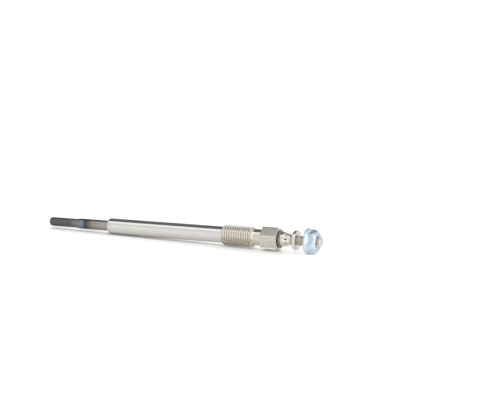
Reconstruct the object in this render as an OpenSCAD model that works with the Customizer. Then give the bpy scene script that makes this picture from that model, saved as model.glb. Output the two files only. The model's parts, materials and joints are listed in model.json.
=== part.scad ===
// Diesel glow plug: a closed metal heater tube in a plated steel housing, with a threaded
// terminal. It lies along X, heater tip towards -X and terminal towards +X. The origin is on
// the axis, where the nose's sealing cone meets the shank. Threads are plain at their outer
// diameter.

/* [Heater tube] */
// Length of tube that stands out of the nose
tube_reach = 30.2; // [26:0.2:40]
// Length of tube pressed into the housing
tube_hold = 22; // [16:0.5:30]
// Outer diameter of the tube
tube_d = 4.3; // [4:0.1:4.6]
// Outer diameter of the swaged tip
tip_d = 3.75; // [3.3:0.05:3.9]
// Length of the swaged tip
tip_length = 13; // [8:0.2:16]
// Length of the taper between tip and tube
swage_length = 2.2; // [1:0.1:4]
// Wall of the tube
tube_wall = 0.5; // [0.4:0.05:0.55]
// Thickness of the closed end
end_wall = 0.8; // [0.6:0.1:1.2]
// Radius round the edge of the closed end
tip_round = 0.8; // [0.3:0.1:1.2]
// Length of the elastomer ring that closes the tube's rear
seal_length = 3.5; // [2:0.5:5]

/* [Coils] */
// Diameter of the coil wire
wire_d = 0.3; // [0.2:0.05:0.35]
// Mean diameter of both coils
coil_d = 1.7; // [1.5:0.05:1.9]
// Turns of the heating coil
heating_turns = 10; // [6:1:12]
// Axial distance between turns of the heating coil
heating_pitch = 0.75; // [0.6:0.05:0.9]
// Turns of the regulating coil
regulating_turns = 13; // [8:1:16]
// Axial distance between turns of the regulating coil
regulating_pitch = 0.85; // [0.6:0.05:0.95]
// Turns of the regulating coil that are wound on the rod's spigot
wound_turns = 3; // [2:1:4]

/* [Housing] */
// Diameter of the shank
shank_d = 6.5; // [6.2:0.1:6.8]
// Length of the shank, from sealing cone to thread
shank_length = 52.5; // [46:0.5:70]
// Axial length of the sealing cone
seat_length = 0.45; // [0.3:0.05:1]
// Depth that the sealing cone takes off the shank's radius
seat_depth = 0.5; // [0.3:0.05:0.8]
// Outer diameter of the housing's thread
thread_d = 8; // [7.4:0.1:10]
// Length of the thread with its run-out at both ends
thread_length = 13.7; // [8:0.1:20]
// Distance from one crest of the thread to the next
thread_pitch = 1; // [0.75:0.05:1.5]
// Diameter of the neck between thread and hexagon
neck_d = 6.4; // [6.2:0.1:7]
// Length of the neck
neck_length = 3.5; // [2:0.1:10]
// Size of the hexagon across its flats
hex_af = 8; // [8:0.5:12]
// Length of the hexagon
hex_length = 6.8; // [4:0.1:9]
// Turn of the hexagon about the axis
hex_turn = 10; // [0:1:59]
// Bore that the rod passes through
rod_bore_d = 4.4; // [4.2:0.1:4.8]
// Counterbore at the rear for seal and bush
counterbore_d = 5.2; // [5:0.1:5.6]
// Depth of the counterbore
counterbore_depth = 6.5; // [4:0.5:8]

/* [Terminal] */
// Diameter of the rod inside tube and housing
rod_d = 2.6; // [2:0.1:2.8]
// Outer diameter of the terminal stud's thread
stud_d = 4; // [3.6:0.1:4]
// Diameter of the bush's rim
rim_d = 6.7; // [6.2:0.1:7.6]
// Thickness of the bush's rim
rim_length = 0.8; // [0.6:0.1:2]
// Diameter of the collar at its base
collar_base_d = 5.6; // [5.2:0.1:6.6]
// Length of the collar's straight base
collar_base_length = 1.1; // [0.6:0.1:2]
// Diameter of the collar at its waist
collar_waist_d = 4.2; // [4:0.1:5]
// Length of the cone from base to waist
collar_cone_length = 2.5; // [1.5:0.1:3]
// Length of the waist
collar_waist_length = 0.6; // [0.4:0.1:1.5]
// Length of the flare from waist to disc
collar_flare_length = 1; // [0.6:0.1:2]
// Diameter of the collar's disc
disc_d = 7.6; // [6.6:0.1:9]
// Thickness of the disc
disc_thick = 1.5; // [0.6:0.1:1.8]
// Wall of the collar where it is crimped into the rod's groove
crimp_wall = 0.5; // [0.4:0.05:0.7]
// Number of punch marks round the crimped cone
crimp_marks = 8; // [4:1:12]
// Diameter of one punch mark
crimp_mark_d = 1; // [0.4:0.1:1.2]
// Depth of one punch mark
crimp_mark_depth = 0.26; // [0.1:0.02:0.3]
// Turn of the ring of punch marks about the axis
crimp_turn = 32; // [0:1:44]

/* [Terminal nut] */
// Free length of stud between disc and nut
nut_gap = 3.7; // [1:0.1:8]
// Length of stud past the nut
stud_past_nut = 1.3; // [1:0.1:4]
// Size of the nut across its flats
nut_af = 8; // [7:0.5:9]
// Height of the nut with its flange
nut_height = 4.5; // [2.8:0.1:5]
// Diameter of the nut's flange
flange_d = 9.9; // [9.4:0.1:12]
// Thickness of the flange at its rim
flange_rim = 0.6; // [0.4:0.1:0.8]
// Height of the flange's cone
flange_cone = 1.5; // [0.4:0.1:1.8]
// Turn of the nut about the axis
nut_turn = 41; // [0:1:59]

/* [Fits] */
// Clearance on diameter where pieces are pressed or packed together
press_gap = 0.02; // [0.01:0.01:0.05]
// Clearance on diameter where the nut runs on the stud
thread_gap = 0.06; // [0.04:0.02:0.2]

/* [Hidden] */
$fn = 96;

// Spare length by which a cutting tool passes the surface that it cuts
cut = 0.5;
// Facets of the wire's section and of one turn of a coil
wire_sides = 6;
turn_sides = 12;
// Slope of the chamfer on the housing's hexagon
hex_chamfer_angle = 32;
// Depth by which the chamfer circle on that hexagon's end lies inside its flats
hex_chamfer_inset = 0.15;
// Slope of the chamfer on the nut's hexagon
nut_chamfer_angle = 45;
// Depth by which the chamfer circle on the nut's end lies inside its flats
nut_chamfer_inset = 0.5;
// Chamfers on turned edges
edge = 0.15;
stud_chamfer = 0.45;
rear_edge = 0.25;
countersink = 0.45;

// Places along the axis
tip_x = -tube_reach;
tube_rear_x = tube_hold;
seal_x = tube_rear_x - seal_length;
nose_x = -seat_length;
thread_x = shank_length;
neck_x = thread_x + thread_length;
crests = floor(thread_length / thread_pitch);
first_crest_x = thread_x + (thread_length - (crests - 1) * thread_pitch) / 2;
hex_x = neck_x + neck_length;
rear_x = hex_x + hex_length;
counterbore_x = rear_x - counterbore_depth;
collar_x = rear_x + rim_length;
cone_x = collar_x + collar_base_length;
waist_x = cone_x + collar_cone_length;
flare_x = waist_x + collar_waist_length;
disc_x = flare_x + collar_flare_length;
disc_face_x = disc_x + disc_thick;
nut_x = disc_face_x + nut_gap;
stud_end_x = nut_x + nut_height + stud_past_nut;

// The tube's bore
tube_bore_d = tube_d - 2 * tube_wall;
tip_bore_d = tip_d - 2 * tube_wall;
bore_end_x = tip_x + end_wall;
swage_x = tip_x + tip_length;
swage_end_x = swage_x + swage_length;

// The coils, from the closed end back to the rod's shoulder
coil_x = bore_end_x + wire_d / 2 + press_gap;
weld_x = coil_x + heating_turns * heating_pitch;
coil_end_x = weld_x + regulating_turns * regulating_pitch;
shoulder_x = coil_end_x + wire_d / 2 + press_gap;
spigot_d = (coil_d - wire_d) * cos(180 / turn_sides) - press_gap;
spigot_x = coil_end_x - wound_turns * regulating_pitch;

// The O-ring, and the bush whose spigot holds it down
o_ring_section = (counterbore_d - rod_d) / 2 - press_gap;
bush_x = counterbore_x + o_ring_section + press_gap;

// The groove in the rod that the collar is crimped into
groove_d = collar_waist_d - 2 * crimp_wall;

// Puts a shape made along Z on the plug's axis, with its base at x
module on_axis(x = 0) {
    translate([x, 0, 0])
        rotate([0, 90, 0])
            children();
}

// Turns a profile of [radius, place along the axis] into a solid
module turned(profile) {
    on_axis()
        rotate_extrude()
            polygon(profile);
}

// Drills a straight hole between two places on the axis
module drilled(d, from, to) {
    on_axis(from)
        cylinder(d = d, h = to - from);
}

// Hexagonal bar from x, whose far end has a round chamfer
module hex_bar(af, length, x, turn, chamfer_inset, chamfer_angle) {
    corner = af / 2 / cos(30);
    face = af / 2 - chamfer_inset;
    slope = (corner + cut - face) * tan(chamfer_angle);
    intersection() {
        on_axis(x)
            rotate([0, 0, turn])
                cylinder(r = corner, h = length, $fn = 6);
        turned([
            [0, x - cut],
            [corner + cut, x - cut],
            [corner + cut, x + length - slope],
            [face, x + length],
            [0, x + length]
        ]);
    }
}

// Wire wound round the axis from x, beginning at first_turn
module coil(x, first_turn, turns, pitch) {
    rings = turns * turn_sides;
    function ring_point(ring, side) =
        let (
            turn = 360 * (first_turn + ring / turn_sides),
            around = 360 * side / wire_sides,
            radius = coil_d / 2 + wire_d / 2 * cos(around),
            place = x + pitch * ring / turn_sides + wire_d / 2 * sin(around)
        )
        [place, radius * cos(turn), radius * sin(turn)];
    function corner(ring, side) = ring * wire_sides + side % wire_sides;
    points = [
        for (ring = [0 : rings], side = [0 : wire_sides - 1]) ring_point(ring, side)
    ];
    lower = [
        for (ring = [0 : rings - 1], side = [0 : wire_sides - 1])
            [corner(ring, side), corner(ring, side + 1), corner(ring + 1, side + 1)]
    ];
    upper = [
        for (ring = [0 : rings - 1], side = [0 : wire_sides - 1])
            [corner(ring, side), corner(ring + 1, side + 1), corner(ring + 1, side)]
    ];
    first_end = [for (side = [wire_sides - 1 : -1 : 0]) corner(0, side)];
    last_end = [for (side = [0 : wire_sides - 1]) corner(rings, side)];
    polyhedron(points, concat(lower, upper, [first_end, last_end]));
}

// Space inside the tube from its closed end to x, smaller all round by gap
module tube_space(to, gap = 0) {
    turned([
        [0, bore_end_x + gap],
        [tip_bore_d / 2 - gap, bore_end_x + gap],
        [tip_bore_d / 2 - gap, swage_x],
        [tube_bore_d / 2 - gap, swage_end_x],
        [tube_bore_d / 2 - gap, to],
        [0, to]
    ]);
}

// Outline of one crest of the housing's thread, whose flanks meet at 60 degrees
function crest_outline(x) =
    let (
        half_crest = thread_pitch / 16,
        depth = 0.61 * thread_pitch,
        half_foot = half_crest + depth * tan(30)
    )
    [
        [thread_d / 2 - depth, x - half_foot],
        [thread_d / 2, x - half_crest],
        [thread_d / 2, x + half_crest],
        [thread_d / 2 - depth, x + half_foot]
    ];

module housing() {
    crest_places = [for (crest = [0 : crests - 1]) first_crest_x + crest * thread_pitch];
    thread_outline = [for (x = crest_places) each crest_outline(x)];
    color("silver")
        difference() {
            union() {
                turned([
                    [0, nose_x],
                    [shank_d / 2 - seat_depth, nose_x],
                    [shank_d / 2, 0],
                    [shank_d / 2, thread_x],
                    each thread_outline,
                    [neck_d / 2, neck_x],
                    [neck_d / 2, hex_x + cut],
                    [0, hex_x + cut]
                ]);
                hex_bar(hex_af, hex_length, hex_x, hex_turn, hex_chamfer_inset, hex_chamfer_angle);
            }
            drilled(tube_d + press_gap, nose_x - cut, tube_rear_x + press_gap);
            drilled(rod_bore_d, tube_rear_x, rear_x + cut);
            drilled(counterbore_d, counterbore_x, rear_x + cut);
        }
}

module heater_sheath() {
    color("dimgray")
        difference() {
            union() {
                turned([
                    [0, tip_x + tip_round],
                    [tip_d / 2, tip_x + tip_round],
                    [tip_d / 2, swage_x],
                    [tube_d / 2, swage_end_x],
                    [tube_d / 2, tube_rear_x],
                    [0, tube_rear_x]
                ]);
                on_axis(tip_x + tip_round)
                    rotate_extrude()
                        translate([tip_d / 2 - tip_round, 0])
                            intersection() {
                                circle(r = tip_round);
                                translate([0, -tip_round])
                                    square(tip_round);
                            }
                drilled(tip_d - 2 * tip_round, tip_x, tip_x + tip_round + cut);
            }
            tube_space(tube_rear_x + cut);
        }
}

module heating_coil() {
    color("darkgoldenrod")
        coil(coil_x, 0, heating_turns, heating_pitch);
}

module regulating_coil() {
    color("lightslategray")
        coil(weld_x, heating_turns, regulating_turns, regulating_pitch);
}

module magnesia_fill() {
    color("ivory")
        difference() {
            tube_space(seal_x - press_gap, press_gap / 2);
            rod_solid(press_gap);
            heating_coil();
            regulating_coil();
        }
}

module sheath_seal() {
    color("sienna")
        difference() {
            drilled(tube_bore_d - press_gap, seal_x, tube_rear_x);
            drilled(rod_d + press_gap, seal_x - cut, tube_rear_x + cut);
        }
}

// The rod, or with a gap the space that it takes
module rod_solid(gap = 0) {
    turned([
        [0, spigot_x - gap],
        [spigot_d / 2 + gap / 2, spigot_x - gap],
        [spigot_d / 2 + gap / 2, shoulder_x - gap],
        [rod_d / 2 + gap / 2, shoulder_x - gap],
        [rod_d / 2 + gap / 2, bush_x],
        [stud_d / 2 + gap / 2, bush_x],
        [stud_d / 2 + gap / 2, cone_x],
        [groove_d / 2 + gap / 2, waist_x],
        [groove_d / 2 + gap / 2, flare_x],
        [stud_d / 2 + gap / 2, disc_x],
        [stud_d / 2 + gap / 2, stud_end_x - stud_chamfer],
        [stud_d / 2 + gap / 2 - stud_chamfer, stud_end_x],
        [0, stud_end_x]
    ]);
}

module centre_rod() {
    color("lightgray")
        rod_solid();
}

module o_ring() {
    color("black")
        on_axis(counterbore_x + o_ring_section / 2)
            rotate_extrude()
                translate([(counterbore_d + rod_d) / 4, 0])
                    circle(d = o_ring_section);
}

module insulator_bush() {
    color("#3a2a20")
        difference() {
            turned([
                [0, bush_x],
                [(counterbore_d - press_gap) / 2, bush_x],
                [(counterbore_d - press_gap) / 2, rear_x],
                [rim_d / 2, rear_x],
                [rim_d / 2, collar_x - rear_edge],
                [rim_d / 2 - rear_edge, collar_x],
                [0, collar_x]
            ]);
            drilled(stud_d + press_gap, bush_x - cut, collar_x + cut);
        }
}

module round_nut() {
    color("gainsboro")
        difference() {
            turned([
                [0, collar_x],
                [collar_base_d / 2 - edge, collar_x],
                [collar_base_d / 2, collar_x + edge],
                [collar_base_d / 2, cone_x],
                [collar_waist_d / 2, waist_x],
                [collar_waist_d / 2, flare_x],
                [disc_d / 2 - edge, disc_x],
                [disc_d / 2, disc_x + edge],
                [disc_d / 2, disc_face_x - edge],
                [disc_d / 2 - edge, disc_face_x],
                [0, disc_face_x]
            ]);
            rod_solid(press_gap);
            punch_marks();
        }
}

// Round dents in a ring, half way down the collar's cone
module punch_marks() {
    place = (cone_x + waist_x) / 2;
    surface = (collar_base_d + collar_waist_d) / 4;
    ball = (pow(crimp_mark_d / 2, 2) + pow(crimp_mark_depth, 2)) / (2 * crimp_mark_depth);
    for (mark = [0 : crimp_marks - 1])
        rotate([crimp_turn + 360 * mark / crimp_marks, 0, 0])
            translate([place, 0, surface + ball - crimp_mark_depth])
                sphere(r = ball);
}

module terminal_nut() {
    cone_d = nut_af - 2 * edge;
    bore_d = stud_d + thread_gap;
    color("lightsteelblue")
        difference() {
            union() {
                turned([
                    [0, nut_x],
                    [flange_d / 2 - edge, nut_x],
                    [flange_d / 2, nut_x + edge],
                    [flange_d / 2, nut_x + flange_rim],
                    [cone_d / 2, nut_x + flange_rim + flange_cone],
                    [0, nut_x + flange_rim + flange_cone]
                ]);
                hex_bar(nut_af, nut_height - edge, nut_x + edge, nut_turn, nut_chamfer_inset, nut_chamfer_angle);
            }
            turned([
                [0, nut_x - cut],
                [bore_d / 2, nut_x - cut],
                [bore_d / 2, nut_x + nut_height - countersink],
                [bore_d / 2 + countersink + cut, nut_x + nut_height + cut],
                [0, nut_x + nut_height + cut]
            ]);
        }
}

housing();
heater_sheath();
heating_coil();
regulating_coil();
magnesia_fill();
sheath_seal();
centre_rod();
o_ring();
insulator_bush();
round_nut();
terminal_nut();
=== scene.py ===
"""Diesel glow plug: threads, crimp marks and the finish of every piece, in a plain studio.

Property groups hold the sizes and colours, one operator makes each piece, and a panel in the
3D view's sidebar lists the operators. Lengths are in metres and the plug lies along X, heater
tip towards -X. A turn about the axis is measured from +Z towards -Y.
"""

import json
import math

import bmesh
import bpy
from bpy.props import FloatProperty, FloatVectorProperty, IntProperty, PointerProperty
from bpy.types import Operator, Panel, PropertyGroup
from mathutils import Matrix, Vector


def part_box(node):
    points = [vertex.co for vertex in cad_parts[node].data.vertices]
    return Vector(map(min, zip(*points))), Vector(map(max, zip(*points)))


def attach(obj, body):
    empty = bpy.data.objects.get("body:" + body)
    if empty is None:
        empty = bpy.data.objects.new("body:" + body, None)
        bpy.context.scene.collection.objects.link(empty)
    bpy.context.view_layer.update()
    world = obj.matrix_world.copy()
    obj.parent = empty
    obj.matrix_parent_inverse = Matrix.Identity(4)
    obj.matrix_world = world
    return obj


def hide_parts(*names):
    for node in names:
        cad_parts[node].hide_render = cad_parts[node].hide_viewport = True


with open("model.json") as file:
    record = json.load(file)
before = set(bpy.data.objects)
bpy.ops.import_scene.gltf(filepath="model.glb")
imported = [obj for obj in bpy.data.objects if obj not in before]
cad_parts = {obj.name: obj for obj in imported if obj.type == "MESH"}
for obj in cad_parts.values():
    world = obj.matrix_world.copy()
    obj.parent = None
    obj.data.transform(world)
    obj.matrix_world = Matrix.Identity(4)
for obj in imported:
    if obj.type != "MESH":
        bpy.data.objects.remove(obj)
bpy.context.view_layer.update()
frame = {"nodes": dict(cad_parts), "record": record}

bl_info = {
    "name": "Glow plug",
    "version": (1, 0, 0),
    "blender": (4, 5, 0),
    "location": "View3D > Sidebar > Glow plug",
    "description": "Makes a diesel glow plug with real threads and metal finishes",
    "category": "Add Mesh",
}

MM = 0.001
SIDES = 6
STEPS_PER_SIDE = 16
STEPS_AROUND = SIDES * STEPS_PER_SIDE
STEP_ANGLE = 2 * math.pi / STEPS_AROUND
# Name of the attribute that marks the hollows of the punch marks
DENT = "dent"
ARC_STEPS = 4
THREAD_STEPS = 16
# Steps along the collar's cone, fine enough for the hollows
CONE_STEPS = 44
# Share of half a pitch over which a thread falls from crest to root
FLANK_SHARE = 0.9
# Longest rounding, as a share of the side that it cuts into
ROUND_SHARE = 0.48
WELD_DISTANCE = 1e-6
SMOOTH_LIMIT = math.radians(40)

# Where a noise counts as low and as high
NOISE_RANGE = (0.3, 0.7)
CLOUD_RANGE = (0.35, 0.65)
DENT_RANGE = (0.1, 0.8)
FINE_DETAIL = 3.0

# Noise in waves per metre, along the axis and across it where these differ
SHANK_STREAKS = (40, 900)
TUBE_STREAKS = (60, 2200)
HOUSING_SPECKLE = 2600
TINT_CLOUDS = 300
PLATE_CLOUDS = 350
FLOOR_CLOUDS = 60

# Smoothest and roughest spots of the housing and the heater tube
SHANK_ROUGHNESS = (0.08, 0.14)
THREAD_ROUGHNESS = (0.19, 0.25)
HEX_ROUGHNESS = (0.22, 0.34)
TIP_ROUGHNESS = (0.4, 0.52)
TUBE_ROUGHNESS = (0.18, 0.3)

# Fine grain of a finish: waves per metre, smoothest and roughest spot, darkest share, depth
GRAINS = {
    "rod_steel": (1800, (0.2, 0.32), 0.9, 0.01 * MM),
    "collar_nickel": (900, (0.14, 0.24), 0.93, 0.01 * MM),
    "blue_zinc": (1200, (0.24, 0.32), 0.97, 0.003 * MM),
    "heating_wire": (2500, (0.35, 0.5), 0.85, 0.005 * MM),
    "regulating_wire": (2500, (0.3, 0.45), 0.88, 0.005 * MM),
    "phenolic": (1500, (0.38, 0.55), 0.7, 0.02 * MM),
    "magnesia": (2500, (0.8, 0.95), 0.85, 0.03 * MM),
    "seal_rubber": (2500, (0.55, 0.7), 0.8, 0.02 * MM),
    "ring_rubber": (2500, (0.45, 0.6), 0.75, 0.02 * MM),
}

# Lengths over which finishes change along the axis
STRAW_REACH = 2.2 * MM
PLATE_FADE = 0.5 * MM
HEX_FADE = 0.05 * MM
# Inset and fade of the painted shade on the thread's roots
ROOT_INSET = 0.2 * MM
ROOT_FADE = 0.4 * MM
TINT_WAVER = 0.35 * MM
# Share of the thread's depth below a crest that gets no painted shade, and of the bush's rim that
# stays dark before its painted sheen begins
UNSHADED_SHARE = 0.2
DARK_SHARE = 0.3

# The floor, and where its glow changes along and across the plug
FLOOR_RADIUS = 6.0
FLOOR_SIDES = 96
FLOOR_GAP = 0.02 * MM
CONTACT_SAMPLES = 16
SIDE_GLOW_EDGE = (4 * MM, -8 * MM)
HEX_GLOW_RISE = 1 * MM
HEX_GLOW_FALL = (2.5 * MM, 1 * MM)
UNDER_HEX_NEAR = (-3 * MM, -1 * MM)
UNDER_HEX_FAR = (0.1 * MM, 1.1 * MM)

# Soft edges in the room, as parts of a direction: X to the terminal, Y away from the camera, Z up
CARD_LEFT = (-0.78, -0.62)
CARD_RIGHT = (-0.2, 0.15)
CARD_NEAR = (-0.12, -0.03)
CARD_FOOT = (0.16, 0.3)
WALL_FOOT = (0.28, 0.44)
ROOF_FOOT = (0.66, 0.76)
TERMINAL_SIDE = (0.2, 0.5)
TERMINAL_FAR = (0.0, 0.2)
BACK_FOOT = (0.2, 0.42)
ROOM_COLOUR = (0.96, 0.99, 1.05, 1.0)

SENSOR_WIDTH = 36.0
CAMERA_REACH = (0.01, 50.0)


def span(node):
    """Front and rear of a node along the plug's axis."""
    low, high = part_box(node)
    return low.x, high.x


NOSE_X, REAR_X = span("housing")
TIP_X, TUBE_REAR_X = span("heater_sheath")
ROD_X, STUD_END_X = span("centre_rod")
BUSH_X, COLLAR_X = span("insulator_bush")
DISC_FACE_X = span("round_nut")[1]
NUT_X, NUT_END_X = span("terminal_nut")
COUNTERBORE_X = span("o_ring")[0]
SHOULDER_X = span("regulating_coil")[1]
MOUNTS = {mount["name"]: mount["dims"] for mount in frame["record"]["mounts"]}


def length(name, description, millimetres):
    """A length that a user may change, given in millimetres."""
    return FloatProperty(
        name=name, description=description, default=millimetres * MM, unit="LENGTH", precision=5
    )


def turn(name, description, degrees):
    """An angle about the plug's axis, given in degrees."""
    return FloatProperty(
        name=name, description=description, default=math.radians(degrees), subtype="ANGLE"
    )


def colour(name, description, red, green, blue):
    """A linear colour that a user may change."""
    return FloatVectorProperty(
        name=name,
        description=description,
        default=(red, green, blue),
        subtype="COLOR",
        min=0,
        max=1,
    )


def level(name, description, default):
    """A plain factor."""
    return FloatProperty(name=name, description=description, default=default)


class HousingSizes(PropertyGroup):
    """Sizes of the turned housing."""

    shank_radius: length("Shank radius", "Radius of the plain shank", MOUNTS["shank"]["r_mm"])
    seat_depth: length("Seat depth", "Depth that the nose's cone takes off the radius", 0.5)
    thread_start: length("Thread start", "Where the thread begins", MOUNTS["shank"]["length_mm"])
    thread_length: length("Thread length", "Length of the thread with both leads", 13.7)
    thread_lead: length("Thread lead", "Length over which the thread rises at each end", 0.9)
    thread_radius: length("Thread radius", "Outer radius of the thread", 4.0)
    thread_pitch: length("Thread pitch", "Distance between crests", 1.0)
    thread_depth: length("Thread depth", "Depth from crest to root", 0.58)
    neck_radius: length("Neck radius", "Radius of the neck behind the thread", 3.2)
    neck_length: length("Neck length", "Length of the neck", 3.5)
    hex_flats: length("Hexagon", "Size of the hexagon across its flats", 8.0)
    hex_turn: turn("Hexagon turn", "Turn of the hexagon about the axis", 10)
    chamfer_inset: length("Chamfer inset", "Width of the chamfer in the middle of a flat", 0.1)
    chamfer_angle: turn("Chamfer angle", "Slope of the chamfer against the end face", 30)
    tube_bore: length("Tube bore", "Radius of the bore that holds the tube", 2.16)
    rod_bore: length("Rod bore", "Radius of the bore that the rod passes through", 2.2)
    counterbore: length("Counterbore", "Radius of the counterbore at the rear", 2.6)
    neck_fillet: length("Neck fillet", "Rounding between neck and hexagon", 0.15)
    hex_edge: length("Hexagon edge", "Rounding of the hexagon's front edge", 0.06)
    chamfer_edge: length("Chamfer edge", "Rounding between flats and chamfer", 0.04)
    rear_edge: length("Rear edge", "Rounding of the rear face's edges", 0.05)
    bore_edge: length("Bore edge", "Rounding of the tube bore's mouth", 0.04)
    nose_edge: length("Nose edge", "Rounding of the nose's front edge", 0.12)
    seat_edge: length("Seat edge", "Rounding between sealing cone and shank", 0.2)


class SheathSizes(PropertyGroup):
    """Sizes of the closed heater tube."""

    tube_radius: length("Tube radius", "Outer radius of the tube", 2.15)
    tip_radius: length("Tip radius", "Outer radius of the swaged tip", 1.875)
    tip_length: length("Tip length", "Length of the swaged tip", 13.0)
    swage_length: length("Swage length", "Length of the taper between tip and tube", 2.2)
    wall: length("Wall", "Wall of the tube", 0.5)
    end_wall: length("End wall", "Thickness of the closed end", 0.8)
    tip_round: length("Tip rounding", "Rounding of the closed end", 0.8)
    swage_round: length("Swage rounding", "Rounding at both ends of the taper", 0.6)
    rear_edge: length("Rear edge", "Rounding of the tube's rear edges", 0.1)
    inner_round: length("Inner rounding", "Rounding inside the closed end", 0.2)


class TerminalSizes(PropertyGroup):
    """Sizes of the rod, the bush and the crimped collar."""

    spigot_radius: length("Spigot radius", "Radius of the rod's end inside the coil", 0.666)
    rod_radius: length("Rod radius", "Radius of the rod inside tube and housing", 1.3)
    stud_radius: length("Stud radius", "Outer radius of the stud's thread", 2.0)
    stud_pitch: length("Stud pitch", "Distance between the stud's crests", 0.7)
    stud_depth: length("Stud thread depth", "Depth from crest to root", 0.4)
    stud_chamfer: length("Stud chamfer", "Chamfer at the stud's end", 0.45)
    groove_radius: length("Groove radius", "Radius of the groove that the collar grips", 1.6)
    fit: length("Fit", "Gap between the stud and what is pressed on it", 0.01)
    rim_radius: length("Rim radius", "Radius of the bush's rim", 3.35)
    rim_edge: length("Rim edge", "Rounding of the rim's edge", 0.3)
    spigot_of_bush: length("Bush spigot", "Radius of the bush inside the housing", 2.59)
    base_radius: length("Collar base", "Radius of the collar's base", 2.8)
    base_length: length("Base length", "Length of the collar's straight base", 1.1)
    cone_length: length("Cone length", "Length of the crimped cone", 2.5)
    waist_radius: length("Waist radius", "Radius of the collar's waist", 2.1)
    waist_length: length("Waist length", "Length of the waist", 0.6)
    flare_length: length("Flare length", "Length of the flare from waist to disc", 1.25)
    disc_radius: length("Disc radius", "Radius of the collar's disc", 3.75)
    marks: IntProperty(name="Crimp marks", description="Number of punch marks", default=8, min=1)
    mark_diameter: length("Mark diameter", "Diameter of one punch mark", 1.0)
    mark_depth: length("Mark depth", "Depth of one punch mark", 0.38)
    mark_turn: turn("Mark turn", "Turn of the ring of marks about the axis", 32)
    rod_edge: length("Rod edge", "Rounding of the rod's shoulders", 0.1)
    bush_edge: length("Bush edge", "Rounding of the bush's front edge", 0.1)
    rim_front: length("Rim front", "Rounding of the rim's front edge", 0.12)
    base_edge: length("Base edge", "Rounding of the collar's front edge", 0.2)
    waist_round: length("Waist rounding", "Rounding between waist and flare", 0.25)
    flare_edge: length("Flare edge", "Rounding between flare and disc", 0.12)
    disc_edge: length("Disc edge", "Rounding of the disc's rear edge", 0.32)
    disc_bore_edge: length("Disc bore edge", "Rounding of the disc's bore", 0.05)


class NutSizes(PropertyGroup):
    """Sizes of the flange nut."""

    flats: length("Flats", "Size of the nut across its flats", 8.0)
    turn: turn("Nut turn", "Turn of the nut about the axis", 41)
    chamfer_inset: length("Chamfer inset", "Width of the chamfer in the middle of a flat", 0.5)
    chamfer_angle: turn("Chamfer angle", "Slope of the chamfer against the end face", 50)
    flange_radius: length("Flange radius", "Radius of the flange", 4.94)
    flange_rim: length("Flange rim", "Thickness of the flange at its rim", 0.6)
    flange_cone: length("Flange cone", "Height of the flange's cone", 1.5)
    cone_radius: length("Cone radius", "Radius at the narrow end of the flange's cone", 3.85)
    bore_radius: length("Bore radius", "Radius inside the thread's ridges", 2.03)
    thread_depth: length("Thread depth", "Depth of the grooves in the bore", 0.2)
    countersink: length("Countersink", "Rear countersink's depth, twice the front's", 0.45)
    bore_edge: length("Bore edge", "Rounding of the front countersink's edge", 0.05)
    rim_front: length("Rim front", "Rounding of the flange's front edge", 0.2)
    rim_rear: length("Rim rear", "Rounding between the flange's rim and cone", 0.25)
    foot_round: length("Foot rounding", "Rounding between cone and flats", 0.15)
    chamfer_round: length("Chamfer rounding", "Rounding between flats and chamfer", 0.45)
    face_edge: length("Face edge", "Rounding between chamfer and rear face", 0.1)
    sink_edge: length("Countersink edge", "Rounding of the rear countersink's edge", 0.08)


class Colours(PropertyGroup):
    """Colours of the finishes."""

    nickel: colour("Nickel", "Plate on the shank", 0.65, 0.627, 0.585)
    warm_nickel: colour("Warm nickel", "Plate on thread, neck and hexagon", 0.61, 0.565, 0.495)
    straw: colour("Straw", "Heat tint at the nose", 0.56, 0.51, 0.42)
    # Painted shade that darkens the roots of the thread
    root_shade: colour("Root shade", "Tint laid over the roots of the thread", 1.0, 0.99, 0.93)
    oxide: colour("Oxide", "Dull oxide on the swaged tip", 0.13, 0.13, 0.12)
    pale_oxide: colour("Pale oxide", "Olive tint in front of the swage", 0.22, 0.215, 0.185)
    steel_blue: colour("Steel blue", "Bright tint behind the swage", 0.21, 0.26, 0.31)
    dark_brown: colour("Dark brown", "Darkest tint of the tube", 0.10, 0.085, 0.08)
    bronze: colour("Bronze", "Brown tint of the tube", 0.31, 0.255, 0.21)
    bare_tube: colour("Bare tube", "Tube close to the nose", 0.36, 0.34, 0.31)
    phenolic: colour("Phenolic", "Moulded bush", 0.105, 0.08, 0.055)
    # Painted sheen on the bush's rim and end towards the collar
    phenolic_sheen: colour("Phenolic sheen", "The bush's highlighted outer edge", 0.4, 0.34, 0.265)
    collar: colour("Collar", "Plate on the collar", 0.66, 0.615, 0.555)
    stud: colour("Stud", "Plate on the stud", 0.57, 0.51, 0.44)
    zinc: colour("Zinc", "Blue passivated zinc of the nut", 0.53, 0.63, 0.69)
    zinc_lilac: colour("Zinc sheen", "Second tint of the nut", 0.57, 0.635, 0.695)
    heating_wire: colour("Heating wire", "Heating coil", 0.42, 0.37, 0.30)
    regulating_wire: colour("Regulating wire", "Regulating coil", 0.55, 0.54, 0.52)
    magnesia: colour("Magnesia", "Compacted powder", 0.80, 0.78, 0.73)
    seal_rubber: colour("Seal rubber", "Ring in the tube's rear", 0.22, 0.11, 0.07)
    ring_rubber: colour("Ring rubber", "O-ring", 0.03, 0.03, 0.03)


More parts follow.
